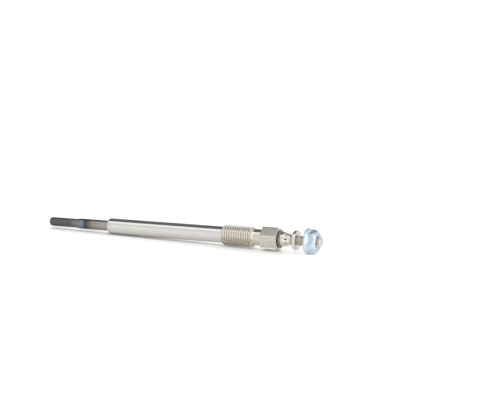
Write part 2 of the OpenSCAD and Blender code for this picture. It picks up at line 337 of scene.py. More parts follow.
class Studio(PropertyGroup):
    """Camera, floor and light."""

    azimuth: turn("Azimuth", "Direction of the camera round the plug", 25.86)
    elevation: turn("Elevation", "Height of the camera over the plug's axis", 9.22)
    distance: length("Distance", "From the camera to the point it aims at", 374.0)
    aim_x: length("Aim X", "Point that the camera aims at", 58.66)
    aim_y: length("Aim Y", "Point that the camera aims at", 2.42)
    aim_z: length("Aim Z", "Point that the camera aims at", 13.54)
    lens: level("Lens", "Focal length in millimetres on a sensor 36 wide", 72.0)
    floor_colour: colour("Floor", "Pale floor", 0.9, 0.89, 0.87)
    floor_glow: level("Floor glow", "Light that the floor adds towards camera and gloss", 0.34)
    side_glow: level("Side glow", "The same in front of the terminal", 0.95)
    hex_glow: level("Hexagon glow", "Light that the floor under the hexagon adds to its gloss", 1.1)
    # Reach of the painted contact shadow in the floor's glow
    contact: length("Contact", "How close a piece must be to darken the floor's glow", 1.5)
    sun: level("Sun", "Irradiance of the overhead lamp", 0.8)
    sun_lean: turn("Sun lean", "Lean of the overhead lamp towards the far side", 45)
    sun_spread: turn("Sun spread", "Angle that the overhead lamp takes up", 60)
    fill_level: level("Fill level", "Brightness of the room where it lights dull surfaces", 0.72)
    front_level: level("Front level", "Brightness round the horizon", 1.2)
    wall_level: level("Wall level", "Brightness of the room half way up on the camera's side", 1.04)
    roof_level: level("Roof level", "Brightness of the roof on the camera's side", 1.45)
    side_level: level("Side level", "Brightness of the room on the terminal's side", 2.2)
    back_level: level("Back level", "The same on the far side, half way up", 1.05)
    left_level: level("Left level", "Brightness of the room past the dark card", 0.75)
    dark_level: level("Dark level", "Brightness of the dark card high on the far side", 0.2)


def settings():
    """The scene's own property groups."""
    return bpy.context.scene.glow_plug


def housing_places(size):
    """Where the housing's thread ends and where its hexagon begins."""
    thread_end = size.thread_start + size.thread_length
    return thread_end, thread_end + size.neck_length


def collar_places(size):
    """Where the collar's cone, waist, flare and disc begin."""
    cone_x = COLLAR_X + size.base_length
    waist_x = cone_x + size.cone_length
    flare_x = waist_x + size.waist_length
    return cone_x, waist_x, flare_x, flare_x + size.flare_length


def swage_places(size):
    """Where the heater tube's taper begins and ends."""
    swage = TIP_X + size.tip_length
    return swage, swage + size.swage_length


# Node trees

def set_inputs(tree, node, values):
    """Sets a node's inputs to values, or links them to sockets."""
    for key, value in values.items():
        if isinstance(value, bpy.types.NodeSocket):
            tree.links.new(value, node.inputs[key])
        else:
            node.inputs[key].default_value = value


def add(tree, kind, inputs=None, **options):
    """A new node with its options and inputs."""
    made = tree.nodes.new(kind)
    for option, value in options.items():
        setattr(made, option, value)
    set_inputs(tree, made, inputs or {})
    return made


def calc(tree, operation, *values):
    """The result of a math node."""
    return add(tree, "ShaderNodeMath", dict(enumerate(values)), operation=operation).outputs[0]


def product(tree, first, *others):
    """The product of several numbers."""
    for other in others:
        first = calc(tree, "MULTIPLY", first, other)
    return first


def remap(tree, value, low, high, to_low, to_high, smooth=False):
    """The value taken from one range to another and held within it."""
    return add(
        tree,
        "ShaderNodeMapRange",
        {"Value": value, 1: low, 2: high, 3: to_low, 4: to_high},
        interpolation_type="SMOOTHSTEP" if smooth else "LINEAR",
    ).outputs[0]


def mix(tree, factor, first, second):
    """A number between two others."""
    mixed = add(tree, "ShaderNodeMix", {0: factor, 2: first, 3: second}, data_type="FLOAT")
    return mixed.outputs[0]


def fade(tree, place, edge, before, after):
    """A number that changes softly at an edge of (from, to)."""
    return remap(tree, place, *edge, before, after, smooth=True)


def window(tree, place, rise, fall, smooth=False):
    """One between two places, with an edge of (from, to) at each of them."""
    return product(
        tree,
        remap(tree, place, *rise, 0.0, 1.0, smooth=smooth),
        remap(tree, place, *fall, 1.0, 0.0, smooth=smooth),
    )


def vector_length(tree, vector):
    """The length of a vector."""
    return add(tree, "ShaderNodeVectorMath", {0: vector}, operation="LENGTH").outputs["Value"]


def off_axis(tree, spot):
    """Distance of a place from the plug's axis."""
    flat = add(tree, "ShaderNodeCombineXYZ", {"Y": spot["Y"], "Z": spot["Z"]})
    return vector_length(tree, flat.outputs[0])


def light_paths(tree):
    """One where camera or gloss looks, and the outputs of the light path."""
    rays = add(tree, "ShaderNodeLightPath").outputs
    return calc(tree, "MAXIMUM", rays["Is Camera Ray"], rays["Is Glossy Ray"]), rays


# Geometry Nodes trees

def new_tree(name, **inputs):
    """A geometry tree with inputs listed by kind; gives the tree, its group input and output."""
    tree = bpy.data.node_groups.new(name, "GeometryNodeTree")
    tree.interface.new_socket("Geometry", in_out="INPUT", socket_type="NodeSocketGeometry")
    for kind, labels in inputs.items():
        for label in labels:
            tree.interface.new_socket(label, in_out="INPUT", socket_type="NodeSocket" + kind)
    tree.interface.new_socket("Geometry", in_out="OUTPUT", socket_type="NodeSocketGeometry")
    return tree, tree.nodes.new("NodeGroupInput"), tree.nodes.new("NodeGroupOutput")


def finish_tree(tree, geometry, material, output):
    """Ends a tree in real geometry with its material."""
    smooth = add(tree, "GeometryNodeSetShadeSmooth", {"Geometry": geometry})
    real = add(tree, "GeometryNodeRealizeInstances", {"Geometry": smooth.outputs[0]})
    finished = add(
        tree, "GeometryNodeSetMaterial", {"Geometry": real.outputs[0], "Material": material}
    )
    tree.links.new(finished.outputs[0], output.inputs[0])


def thread_tree():
    """Helical thread between two open rings of a turned piece.

    A strip of one pitch is wound round the axis, and each of its edges welds to the next turn.
    Towards both ends the profile runs out to the radius of the ring that it joins.
    """
    radii = ("Crest radius", "Root radius", "Start radius", "End radius")
    leads = ("Start lead", "End lead")
    tree, given, output = new_tree(
        "screw_thread",
        Float=("Start", "End", "Pitch", *radii, *leads, "First angle"),
        Bool=("Inside",),
        Material=("Material",),
    )
    size = given.outputs
    reach = calc(tree, "SUBTRACT", size["End"], size["Start"])
    turns = calc(tree, "ADD", calc(tree, "CEIL", calc(tree, "DIVIDE", reach, size["Pitch"])), 1.0)
    rows = calc(tree, "MULTIPLY_ADD", turns, float(STEPS_AROUND), 1.0)
    strip = add(
        tree,
        "GeometryNodeMeshGrid",
        {"Size X": 1.0, "Size Y": turns, "Vertices X": THREAD_STEPS + 1, "Vertices Y": rows},
    )
    place = add(tree, "GeometryNodeInputPosition")
    spot = add(tree, "ShaderNodeSeparateXYZ", {0: place.outputs[0]})
    across = calc(tree, "ADD", spot.outputs["X"], 0.5)
    wound = calc(tree, "MULTIPLY_ADD", turns, 0.5, spot.outputs["Y"])
    pitches = calc(tree, "SUBTRACT", calc(tree, "ADD", wound, across), 1.0)
    free_x = calc(tree, "MULTIPLY_ADD", pitches, size["Pitch"], size["Start"])
    x = calc(tree, "MINIMUM", calc(tree, "MAXIMUM", free_x, size["Start"]), size["End"])
    from_crest = calc(tree, "ABSOLUTE", product(tree, spot.outputs["X"], 2.0))
    profile = remap(
        tree, from_crest, 0.0, FLANK_SHARE, size["Crest radius"], size["Root radius"], smooth=True
    )
    start_rise = calc(tree, "DIVIDE", calc(tree, "SUBTRACT", x, size["Start"]), size["Start lead"])
    end_rise = calc(tree, "DIVIDE", calc(tree, "SUBTRACT", size["End"], x), size["End lead"])
    risen = mix(tree, start_rise, size["Start radius"], profile)
    radius = mix(tree, end_rise, size["End radius"], risen)
    angle = calc(tree, "MULTIPLY_ADD", wound, 2 * math.pi, size["First angle"])
    y = product(tree, calc(tree, "SINE", angle), radius, -1.0)
    z = product(tree, calc(tree, "COSINE", angle), radius)
    point = add(tree, "ShaderNodeCombineXYZ", {"X": x, "Y": y, "Z": z})
    wound_strip = add(
        tree,
        "GeometryNodeSetPosition",
        {"Geometry": strip.outputs["Mesh"], "Position": point.outputs[0]},
    )
    outward = add(tree, "GeometryNodeFlipFaces", {"Mesh": wound_strip.outputs[0]})
    facing = add(
        tree,
        "GeometryNodeSwitch",
        {"Switch": size["Inside"], "False": outward.outputs[0], "True": wound_strip.outputs[0]},
        input_type="GEOMETRY",
    )
    joined = add(tree, "GeometryNodeJoinGeometry", {"Geometry": size["Geometry"]})
    tree.links.new(facing.outputs[0], joined.inputs[0])
    welded = add(
        tree,
        "GeometryNodeMergeByDistance",
        {"Geometry": joined.outputs[0], "Distance": WELD_DISTANCE},
    )
    finish_tree(tree, welded.outputs[0], size["Material"], output)
    return tree


def punch_tree():
    """A ring of round dents, pressed into whatever surface lies at that place."""
    tree, given, output = new_tree(
        "punch_marks",
        Int=("Marks",),
        Float=("Diameter", "Depth", "Place", "Turn", "Least radius"),
        Material=("Material",),
    )
    size = given.outputs
    place = add(tree, "GeometryNodeInputPosition")
    spot = add(tree, "ShaderNodeSeparateXYZ", {0: place.outputs[0]})
    toward = product(tree, spot.outputs["Y"], -1.0)
    angle = calc(tree, "SUBTRACT", calc(tree, "ARCTAN2", toward, spot.outputs["Z"]), size["Turn"])
    share = calc(tree, "DIVIDE", product(tree, angle, size["Marks"]), 2 * math.pi)
    off_mark = calc(tree, "SUBTRACT", share, calc(tree, "ROUND", share))
    arc = calc(tree, "DIVIDE", product(tree, off_mark, 2 * math.pi), size["Marks"])
    radius = off_axis(tree, spot.outputs)
    around = product(tree, arc, radius)
    along = calc(tree, "SUBTRACT", spot.outputs["X"], size["Place"])
    off_centre = add(tree, "ShaderNodeCombineXYZ", {"X": along, "Y": around})
    distance = vector_length(tree, off_centre.outputs[0])
    share_out = calc(tree, "DIVIDE", product(tree, distance, 2.0), size["Diameter"])
    hollow = calc(tree, "SUBTRACT", 1.0, product(tree, share_out, share_out))
    outer = calc(tree, "GREATER_THAN", radius, size["Least radius"])
    dent = product(tree, calc(tree, "MAXIMUM", hollow, 0.0), outer)
    normal = add(tree, "GeometryNodeInputNormal")
    inward = product(tree, dent, size["Depth"], -1.0)
    push = add(
        tree, "ShaderNodeVectorMath", {0: normal.outputs[0], "Scale": inward}, operation="SCALE"
    )
    marked = add(
        tree,
        "GeometryNodeStoreNamedAttribute",
        {"Geometry": size["Geometry"], "Name": DENT, "Value": dent},
    )
    dented = add(
        tree, "GeometryNodeSetPosition", {"Geometry": marked.outputs[0], "Offset": push.outputs[0]}
    )
    finish_tree(tree, dented.outputs[0], size["Material"], output)
    return tree


def run_tree(piece, tree, values):
    """Gives a piece the plain mesh that a geometry tree makes of it."""
    modifier = piece.modifiers.new(tree.name, "NODES")
    modifier.node_group = tree
    for socket in tree.interface.items_tree:
        if socket.in_out == "INPUT" and socket.name in values:
            modifier[socket.identifier] = values[socket.name]
    keep_result(piece, modifier)


def keep_result(piece, modifier):
    """Turns what a modifier makes into the piece's own mesh, and removes the modifier."""
    bpy.context.view_layer.update()
    evaluated = piece.evaluated_get(bpy.context.evaluated_depsgraph_get())
    mesh = bpy.data.meshes.new_from_object(evaluated)
    piece.modifiers.remove(modifier)
    piece.data = mesh
    mesh.name = piece.name


# Turned meshes

def rounded(corners):
    """An outline through corners of (x, radius, setback, angle), as points of (x, radius, angle).

    A corner with a setback becomes a curve that leaves both sides that far from the corner.
    """
    outline = [(corners[0][0], corners[0][1], corners[0][3])]
    for before, corner, after in zip(corners, corners[1:], corners[2:]):
        here = Vector(corner[:2])
        setback, angle = corner[2], corner[3]
        if setback == 0:
            outline.append((here.x, here.y, angle))
            continue
        back, ahead = Vector(before[:2]) - here, Vector(after[:2]) - here
        start = here + back.normalized() * min(setback, back.length * ROUND_SHARE)
        end = here + ahead.normalized() * min(setback, ahead.length * ROUND_SHARE)
        for step in range(ARC_STEPS + 1):
            share = step / ARC_STEPS
            point = start.lerp(here, share).lerp(here.lerp(end, share), share)
            outline.append((point.x, point.y, angle))
    outline.append((corners[-1][0], corners[-1][1], corners[-1][3]))
    return outline


def put(name, data):
    """A new object in the scene."""
    made = bpy.data.objects.new(name, data)
    bpy.context.scene.collection.objects.link(made)
    return made


def turned_piece(name, outlines):
    """An object whose mesh spans outlines of (x, radius, angle) that stand round the axis."""
    columns = len(outlines[0])
    points = [
        (x, -radius * math.sin(angle), radius * math.cos(angle))
        for outline in outlines
        for x, radius, angle in outline
    ]
    faces = []
    for row in range(len(outlines)):
        this, following = row * columns, (row + 1) % len(outlines) * columns
        for column in range(columns - 1):
            ahead = column + 1
            faces.append((this + column, following + column, following + ahead, this + ahead))
    mesh = bpy.data.meshes.new(name)
    mesh.from_pydata(points, [], faces)
    weld(mesh)
    return put(name, mesh)


def weld(mesh):
    """Merges the points that meet on the axis, and drops faces left without area."""
    edit = bmesh.new()
    edit.from_mesh(mesh)
    bmesh.ops.remove_doubles(edit, verts=edit.verts, dist=WELD_DISTANCE)
    bmesh.ops.dissolve_degenerate(edit, edges=edit.edges, dist=WELD_DISTANCE / 10)
    edit.to_mesh(mesh)
    edit.free()


def plain_outlines(corners, steps=STEPS_AROUND):
    """The same outline of (x, radius, setback) corners at every step round the axis."""
    outlines = []
    for step in range(steps):
        angle = step * 2 * math.pi / steps
        outlines.append(rounded([(*corner, angle) for corner in corners]))
    return outlines


def hex_step(step, flats, first, corner_flat=0.07 * MM):
    """Angle and radius of a hexagon's outline at a step, with a narrow flat on each corner."""
    corner = flats / 2 / math.cos(math.pi / SIDES) - corner_flat
    half_flat = math.pi / SIDES - math.acos(flats / 2 / corner)
    side, place = divmod(step, STEPS_PER_SIDE)
    base = first + side * 2 * math.pi / SIDES
    if place == 0:
        return base, corner
    share = (place - 1) / (STEPS_PER_SIDE - 2)
    inside = half_flat + share * (2 * math.pi / SIDES - 2 * half_flat)
    return base + inside, flats / 2 / math.cos(inside - math.pi / SIDES)


def join_into(piece, other):
    """Adds another object's mesh to a piece and removes that object."""
    edit = bmesh.new()
    edit.from_mesh(piece.data)
    edit.from_mesh(other.data)
    edit.to_mesh(piece.data)
    edit.free()
    spare = other.data
    bpy.data.objects.remove(other)
    bpy.data.meshes.remove(spare)


def finish_piece(piece, material, node, body):
    """Smooths a piece, gives it its finish and lets it stand for a node of the frame."""
    mesh = piece.data
    mesh.materials.clear()
    mesh.materials.append(material)
    mesh.shade_smooth()
    mesh.set_sharp_from_angle(angle=SMOOTH_LIMIT)
    weighted = piece.modifiers.new("flat_faces", "WEIGHTED_NORMAL")
    weighted.keep_sharp = True
    keep_result(piece, weighted)
    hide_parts(node)
    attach(piece, body)


# Finishes

def new_finish(name):
    """A material with one shader; gives the material, its tree and the shader."""
    material = bpy.data.materials.new(name)
    material.use_nodes = True
    tree = material.node_tree
    return material, tree, tree.nodes["Principled BSDF"]


def object_place(tree):
    """Place on the part, in its own frame."""
    return add(tree, "ShaderNodeTexCoord").outputs["Object"]


def part_axes(tree):
    """Place on the part, as the outputs X, Y and Z."""
    return add(tree, "ShaderNodeSeparateXYZ", {0: object_place(tree)}).outputs


def grain(tree, along, across=None, detail=2.0):
    """Noise in waves per metre, along the plug's axis and across it."""
    across = across or along
    stretched = add(
        tree,
        "ShaderNodeMapping",
        {"Vector": object_place(tree), "Scale": (along, across, across)},
    )
    noise = add(
        tree,
        "ShaderNodeTexNoise",
        {"Vector": stretched.outputs[0], "Scale": 1.0, "Detail": detail},
    )
    return noise.outputs["Fac"]


def axis_place(tree, waver=None):
    """Place along the plug's axis, wavering by a noise if one is given."""
    x = part_axes(tree)["X"]
    return calc(tree, "ADD", x, waver) if waver else x


def bands(tree, place, stops):
    """Colours that blend along the axis through stops of (place, colour)."""
    low, high = stops[0][0], stops[-1][0]
    share = remap(tree, place, low, high, 0.0, 1.0)
    ramp = add(tree, "ShaderNodeValToRGB", {"Fac": share})
    elements = ramp.color_ramp.elements
    while len(elements) < len(stops):
        elements.new(0.5)
    for element, (stop, tint) in zip(elements, stops):
        element.position = (stop - low) / (high - low)
        element.color = (*tint, 1.0)
    return ramp.outputs["Color"]


def blend(tree, factor, first, second, mode="MIX"):
    """A colour between two others, or one laid over the other."""
    return add(
        tree, "ShaderNodeMix", {0: factor, 6: first, 7: second}, data_type="RGBA", blend_type=mode
    ).outputs[2]


def uneven(tree, tint, noise, darkest):
    """The colour, darker where the noise is low."""
    shade = remap(tree, noise, *NOISE_RANGE, darkest, 1.0)
    grey = add(tree, "ShaderNodeCombineColor", {0: shade, 1: shade, 2: shade}).outputs[0]
    return blend(tree, 1.0, tint, grey, mode="MULTIPLY")


def root_shades(tree, tint, size, root_shade_tint):
    """The housing's colour, with painted shade laid over it towards the roots of its thread."""
    spot = part_axes(tree)
    root = size.thread_radius - size.thread_depth
    crest = size.thread_radius - UNSHADED_SHARE * size.thread_depth
    first = size.thread_start + ROOT_INSET
    last = housing_places(size)[0] - ROOT_INSET
    # Painted shade, strongest at the roots and fading out towards the crests
    depth = remap(tree, off_axis(tree, spot), root, crest, 1.0, 0.0)
    along = window(tree, spot["X"], (first, first + ROOT_FADE), (last - ROOT_FADE, last))
    root_shading = product(tree, depth, along)
    return blend(tree, root_shading, tint, blend(tree, 1.0, tint, (*root_shade_tint, 1.0), mode="MULTIPLY"))


def shade(tree, shader, tint, roughness, height, strength, depth, metallic=0.0):
    """Gives the shader its colour and roughness, and a bump of a depth in metres."""
    bump = {"Height": height, "Strength": strength, "Distance": depth}
    set_inputs(
        tree,
        shader,
        {
            "Base Color": tint,
            "Metallic": metallic,
            "Roughness": roughness,
            "Normal": add(tree, "ShaderNodeBump", bump).outputs[0],
        },
    )


def nickel_finish():
    """Bright plate on the housing: smooth on the shank, grainier and warmer from the thread on."""
    tints, size = settings().colours, settings().housing
    material, tree, shader = new_finish("nickel_plate")
    start = size.thread_start
    thread_end, hex_front = housing_places(size)
    place = axis_place(tree)
    tint = bands(
        tree,
        place,
        [
            (NOSE_X, tints.straw),
            (NOSE_X + STRAW_REACH, tints.nickel),
            (start - PLATE_FADE, tints.nickel),
            (start + PLATE_FADE, tints.warm_nickel),
            (REAR_X, tints.warm_nickel),
        ],
    )
    streaks = grain(tree, *SHANK_STREAKS)
    speckle = grain(tree, HOUSING_SPECKLE, detail=FINE_DETAIL)
    on_hex = remap(tree, place, hex_front - HEX_FADE, hex_front, 0.0, 1.0)
    on_thread = window(
        tree, place, (start, start + PLATE_FADE), (thread_end - PLATE_FADE, thread_end)
    )
    shank_part = remap(tree, streaks, *NOISE_RANGE, *SHANK_ROUGHNESS)
    thread_part = remap(tree, speckle, *NOISE_RANGE, *THREAD_ROUGHNESS)
    hex_part = remap(tree, speckle, *NOISE_RANGE, *HEX_ROUGHNESS)
    shade(
        tree,
        shader,
        tint=uneven(tree, root_shades(tree, tint, size, tints.root_shade), streaks, darkest=0.95),
        roughness=mix(tree, on_hex, mix(tree, on_thread, shank_part, thread_part), hex_part),
        height=speckle,
        strength=0.12,
        depth=0.01 * MM,
        metallic=1.0,
    )
    return material


def sheath_finish():
    """Drawn alloy tube with the tints that heat leaves, from dull oxide to bare tube."""
    tints, size = settings().colours, settings().sheath
    material, tree, shader = new_finish("heat_tinted_alloy")
    swage, swage_end = swage_places(size)
    cloud = grain(tree, TINT_CLOUDS)
    waver = remap(tree, cloud, *NOISE_RANGE, -TINT_WAVER, TINT_WAVER)
    tint = bands(
        tree,
        axis_place(tree, waver),
        [
            (TIP_X, tints.oxide),
            (swage - 2.8 * MM, tints.oxide),
            (swage - 0.3 * MM, tints.pale_oxide),
            (swage_end + 0.3 * MM, tints.pale_oxide),
            (swage_end + 0.9 * MM, tints.steel_blue),
            (swage_end + 1.8 * MM, tints.steel_blue),
            (swage_end + 2.9 * MM, tints.dark_brown),
            (swage_end + 4.2 * MM, tints.dark_brown),
            (swage_end + 6.8 * MM, tints.bronze),
            (swage_end + 10.5 * MM, tints.bare_tube),
            (NOSE_X, tints.bare_tube),
        ],
    )
    streaks = grain(tree, *TUBE_STREAKS, detail=FINE_DETAIL)
    behind_tip = remap(tree, axis_place(tree), swage, swage_end, 0.0, 1.0)
    tip_part = remap(tree, streaks, *NOISE_RANGE, *TIP_ROUGHNESS)
    tube_part = remap(tree, streaks, *NOISE_RANGE, *TUBE_ROUGHNESS)
    shade(
        tree,
        shader,
        tint=uneven(tree, tint, streaks, darkest=0.78),
        roughness=mix(tree, behind_tip, tip_part, tube_part),
        height=streaks,
        strength=0.2,
        depth=0.01 * MM,
        metallic=1.0,
    )
    return material


def fine_grain(tree, shader, name, tint, strength, metallic=0.0):
    """Shades a finish with the grain that the table gives it."""
    waves, roughness, darkest, depth = GRAINS[name]
    fine = grain(tree, waves, detail=FINE_DETAIL)
    shade(
        tree,
        shader,
        tint=uneven(tree, tint, fine, darkest),
        roughness=remap(tree, fine, *NOISE_RANGE, *roughness),
        height=fine,
        strength=strength,
        depth=depth,
        metallic=metallic,
    )


def plated_finish(name, first, second, metallic=1.0, dent_shade=0.0):
    """Metal that wavers between two tints, with painted shade in its dents if asked for."""
    material, tree, shader = new_finish(name)
    share = remap(tree, grain(tree, PLATE_CLOUDS), *CLOUD_RANGE, 0.0, 1.0)
    tint = blend(tree, share, (*first, 1.0), (*second, 1.0))
    if dent_shade:
        # Painted shade darkens the hollows of the punch marks
        dent = add(tree, "ShaderNodeAttribute", attribute_name=DENT).outputs["Fac"]
        tint = uneven(tree, tint, remap(tree, dent, *DENT_RANGE, 1.0, 0.0), darkest=1.0 - dent_shade)
    fine_grain(tree, shader, name, tint, strength=0.15, metallic=metallic)
    return material


def dull_finish(name, tint, sheen_band=None):
    """Moulded, packed or rubber material, with a painted sheen that pales it along a stretch of
    (from, to, colour) if given.
    """
    material, tree, shader = new_finish(name)
    shown = (*tint, 1.0)
    if sheen_band:
        start, end, pale = sheen_band
        shown = bands(tree, axis_place(tree), [(start, tint), (end, pale)])
    fine_grain(tree, shader, name, shown, strength=0.3)
    return material


# Operators

class GLOWPLUG_OT_housing(Operator):
    """Turned housing with its rolled thread and hexagon"""

    bl_idname = "glowplug.housing"
    bl_label = "Housing"

    def execute(self, context):
        size = settings().housing
        material = nickel_finish()
        thread_end = housing_places(size)[0]
        outlines = [self.outline(size, step) for step in range(STEPS_AROUND)]
        piece = turned_piece("plug_housing", outlines)
        run_tree(
            piece,
            thread_tree(),
            {
                "Start": size.thread_start,
                "End": thread_end,
                "Pitch": size.thread_pitch,
                "Crest radius": size.thread_radius,
                "Root radius": size.thread_radius - size.thread_depth,
                "Start radius": size.shank_radius,
                "End radius": size.neck_radius,
                "Start lead": size.thread_lead,
                "End lead": size.thread_lead,
                "First angle": size.hex_turn,
                "Inside": False,
                "Material": material,
            },
        )
        finish_piece(piece, material, "housing", "plug")
        return {"FINISHED"}

    def outline(self, size, step):
        """From the thread's rear over the hexagon, back through the bores and along the shank."""
        thread_end, hex_front = housing_places(size)
        angle = size.hex_turn + step * STEP_ANGLE
        hex_angle, hex_radius = hex_step(step, size.hex_flats, size.hex_turn)
        face = size.hex_flats / 2 - size.chamfer_inset
        chamfer_x = REAR_X - (hex_radius - face) * math.tan(size.chamfer_angle)
        return rounded(
            [
                (thread_end, size.neck_radius, 0, angle),
                (hex_front, size.neck_radius, size.neck_fillet, angle),
                (hex_front, hex_radius, size.hex_edge, hex_angle),
                (chamfer_x, hex_radius, size.chamfer_edge, hex_angle),
                (REAR_X, face, size.rear_edge, hex_angle),
                (REAR_X, size.counterbore, size.rear_edge, angle),
                (COUNTERBORE_X, size.counterbore, 0, angle),
                (COUNTERBORE_X, size.rod_bore, 0, angle),
                (TUBE_REAR_X, size.rod_bore, 0, angle),
                (TUBE_REAR_X, size.tube_bore, 0, angle),
                (NOSE_X, size.tube_bore, size.bore_edge, angle),
                (NOSE_X, size.shank_radius - size.seat_depth, size.nose_edge, angle),
                (0.0, size.shank_radius, size.seat_edge, angle),
                (size.thread_start, size.shank_radius, 0, angle),
            ]
        )


class GLOWPLUG_OT_sheath(Operator):
    """Closed heater tube with its swaged tip"""

    bl_idname = "glowplug.sheath"
    bl_label = "Heater tube"

    def execute(self, context):
        size = settings().sheath
        swage, swage_end = swage_places(size)
        corners = [
            (TIP_X, 0.0, 0),
            (TIP_X, size.tip_radius, size.tip_round),
            (swage, size.tip_radius, size.swage_round),
            (swage_end, size.tube_radius, size.swage_round),
            (TUBE_REAR_X, size.tube_radius, size.rear_edge),
            (TUBE_REAR_X, size.tube_radius - size.wall, size.rear_edge),
            (swage_end, size.tube_radius - size.wall, 0),
            (swage, size.tip_radius - size.wall, 0),
            (TIP_X + size.end_wall, size.tip_radius - size.wall, size.inner_round),
            (TIP_X + size.end_wall, 0.0, 0),
        ]
        piece = turned_piece("heater_tube", plain_outlines(corners))
        finish_piece(piece, sheath_finish(), "heater_sheath", "plug")
        return {"FINISHED"}


class GLOWPLUG_OT_rod(Operator):
    """Terminal rod with its threaded stud"""

    bl_idname = "glowplug.rod"
    bl_label = "Terminal rod"

    def execute(self, context):
        size = settings().terminal
        tints = settings().colours
        material = plated_finish("rod_steel", tints.stud, tints.collar)
        cone_x, waist_x, flare_x, disc_x = collar_places(size)
        end_radius = size.stud_radius - size.stud_chamfer
        front = [
            (ROD_X, 0.0, 0),
            (ROD_X, size.spigot_radius, size.rod_edge),
            (SHOULDER_X, size.spigot_radius, 0),
            (SHOULDER_X, size.rod_radius, size.rod_edge),
            (BUSH_X, size.rod_radius, size.rod_edge),
            (BUSH_X, size.stud_radius, size.rod_edge),
            (cone_x, size.stud_radius, 0),
            (waist_x, size.groove_radius, 0),
            (flare_x, size.groove_radius, 0),
            (disc_x, size.stud_radius, 0),
        ]
        rear = [(STUD_END_X, end_radius, 0), (STUD_END_X, end_radius / 2, 0), (STUD_END_X, 0.0, 0)]
        piece = turned_piece("terminal_rod", plain_outlines(front))
        end_face = turned_piece("stud_end", plain_outlines(rear))
        join_into(piece, end_face)
        run_tree(
            piece,
            thread_tree(),
            {
                "Start": disc_x,
                "End": STUD_END_X,
                "Pitch": size.stud_pitch,
                "Crest radius": size.stud_radius,
                "Root radius": size.stud_radius - size.stud_depth,
                "Start radius": size.stud_radius,
                "End radius": end_radius,
                "Start lead": size.stud_pitch,
                "End lead": size.stud_chamfer,
                "First angle": 0.0,
                "Inside": False,
                "Material": material,
            },
        )
        finish_piece(piece, material, "centre_rod", "plug")
        return {"FINISHED"}


class GLOWPLUG_OT_bush(Operator):
    """Moulded insulating bush between housing and collar"""

    bl_idname = "glowplug.bush"
    bl_label = "Insulator bush"

    def execute(self, context):
        size = settings().terminal
        tints = settings().colours
        bore = size.stud_radius + size.fit
        corners = [
            (BUSH_X, (bore + size.spigot_of_bush) / 2, 0),
            (BUSH_X, size.spigot_of_bush, size.bush_edge),
            (REAR_X, size.spigot_of_bush, 0),
            (REAR_X, size.rim_radius, size.rim_front),
            (COLLAR_X, size.rim_radius, size.rim_edge),
            (COLLAR_X, bore, 0),
            (BUSH_X, bore, 0),
            (BUSH_X, (bore + size.spigot_of_bush) / 2, 0),
        ]
        # Painted sheen: the bush pales from here to the collar
        dark_end = REAR_X + DARK_SHARE * (COLLAR_X - REAR_X)
        sheen_band = (dark_end, COLLAR_X, tints.phenolic_sheen)
        material = dull_finish("phenolic", tints.phenolic, sheen_band)
        piece = turned_piece("insulator_rim", plain_outlines(corners))
        finish_piece(piece, material, "insulator_bush", "plug")
        return {"FINISHED"}


class GLOWPLUG_OT_collar(Operator):
    """Plated collar, crimped on the stud by a ring of punch marks"""

    bl_idname = "glowplug.collar"
    bl_label = "Crimped collar"

    def execute(self, context):
        size = settings().terminal
        tints = settings().colours
        bore = size.stud_radius + size.fit
        groove = size.groove_radius + size.fit
        cone_x, waist_x, flare_x, disc_x = collar_places(size)
        cone = [
            (
                cone_x + step / CONE_STEPS * size.cone_length,
                size.base_radius + step / CONE_STEPS * (size.waist_radius - size.base_radius),
                0,
            )
            for step in range(1, CONE_STEPS)
        ]
        corners = [
            (COLLAR_X, (bore + size.base_radius) / 2, 0),
            (COLLAR_X, size.base_radius, size.base_edge),
            (cone_x, size.base_radius, 0),
            *cone,
            (waist_x, size.waist_radius, 0),
            (flare_x, size.waist_radius, size.waist_round),
            (disc_x, size.disc_radius, size.flare_edge),
            (DISC_FACE_X, size.disc_radius, size.disc_edge),
            (DISC_FACE_X, bore, size.disc_bore_edge),
            (disc_x, bore, 0),
            (flare_x, groove, 0),
            (waist_x, groove, 0),
            (cone_x, bore, 0),
            (COLLAR_X, bore, 0),
            (COLLAR_X, (bore + size.base_radius) / 2, 0),
        ]
        material = plated_finish("collar_nickel", tints.collar, tints.warm_nickel, dent_shade=0.75)
        piece = turned_piece("crimped_collar", plain_outlines(corners, steps=2 * STEPS_AROUND))
        run_tree(
            piece,
            punch_tree(),
            {
                "Marks": size.marks,
                "Diameter": size.mark_diameter,
                "Depth": size.mark_depth,
                "Place": (cone_x + waist_x) / 2,
                "Turn": size.mark_turn,
                "Least radius": (size.waist_radius + bore) / 2,
                "Material": material,
            },
        )
        finish_piece(piece, material, "round_nut", "plug")
        return {"FINISHED"}


